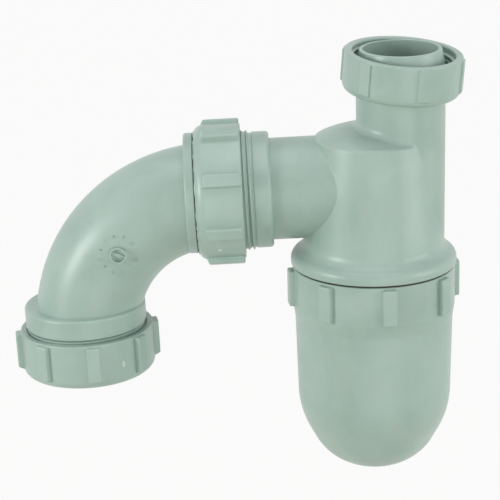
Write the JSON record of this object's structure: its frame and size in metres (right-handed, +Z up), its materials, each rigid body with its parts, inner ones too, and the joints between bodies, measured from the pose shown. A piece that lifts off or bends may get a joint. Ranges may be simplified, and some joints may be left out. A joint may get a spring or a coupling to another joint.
{
  "type": "s-trap",
  "caption": "Bottle trap with an S outlet: off-centre inlet neck with a loose union nut, screw-on bowl over a dip tube, and a swivelling down bend with compression nuts.",
  "frame": {"origin": "centre of the inlet neck's top rim", "axes": "+Z up along the inlet neck, the outlet runs towards -X"},
  "size_m": [0.2098, 0.0806, 0.2015],
  "materials": {
    "grey_green_plastic": "satin moulded polypropylene",
    "black_rubber": "matt",
    "natural_plastic": "satin, uncoloured"
  },
  "bodies": {
    "trap": {"trap_body": "grey_green_plastic"},
    "bowl_ring": {"bowl_seal": "black_rubber"},
    "bowl": {"bowl": "grey_green_plastic"},
    "outlet_ring": {"outlet_seal": "black_rubber", "outlet_slip_ring": "natural_plastic"},
    "outlet_nut": {"outlet_nut": "grey_green_plastic"},
    "elbow": {"elbow": "grey_green_plastic"},
    "pipe_ring": {"pipe_seal": "black_rubber", "pipe_slip_ring": "natural_plastic"},
    "pipe_nut": {"pipe_nut": "grey_green_plastic"},
    "inlet_nut": {"inlet_nut": "grey_green_plastic"}
  },
  "joints": [
    {"name": "bowl_drop", "type": "slide", "parent": "trap", "child": "bowl_ring", "axis": [0, 0, -1], "range_m": [0, 0.0121]},
    {"name": "bowl_screw", "type": "hinge", "parent": "bowl_ring", "child": "bowl", "pos_m": [-0.0127, 0, -0.10025], "axis": [0, 0, -1], "range_deg": [0, 1080]},
    {"name": "outlet_nut_travel", "type": "slide", "parent": "trap", "child": "outlet_ring", "axis": [0.9995, 0, 0.0305], "range_m": [-0.0003, 0.0025]},
    {"name": "outlet_nut_screw", "type": "hinge", "parent": "outlet_ring", "child": "outlet_nut", "pos_m": [-0.08267, 0, -0.06514], "axis": [0.9995, 0, 0.0305], "range_deg": [-45, 385]},
    {"name": "elbow_swivel", "type": "hinge", "parent": "trap", "child": "elbow", "pos_m": [-0.09266, 0, -0.06544], "axis": [-0.9995, 0, -0.0305], "continuous": true},
    {"name": "pipe_nut_travel", "type": "slide", "parent": "elbow", "child": "pipe_ring", "axis": [-0.0305, 0, 0.9995], "range_m": [-0.0085, 0.0014]},
    {"name": "pipe_nut_screw", "type": "hinge", "parent": "pipe_ring", "child": "pipe_nut", "pos_m": [-0.14725, 0, -0.13704], "axis": [-0.0305, 0, 0.9995], "range_deg": [-1320, 215]},
    {"name": "inlet_nut_spin", "type": "hinge", "parent": "trap", "child": "inlet_nut", "pos_m": [0.00064, -0.00045, -0.01209], "axis": [0.0802, -0.0558, 0.9952], "continuous": true}
  ],
  "couplings": [
    {"joint": "bowl_drop", "follows": "bowl_screw", "m_per_rad": 0.00063662},
    {"joint": "outlet_nut_travel", "follows": "outlet_nut_screw", "m_per_rad": 0.00036749},
    {"joint": "pipe_nut_travel", "follows": "pipe_nut_screw", "m_per_rad": 0.00036749}
  ]
}
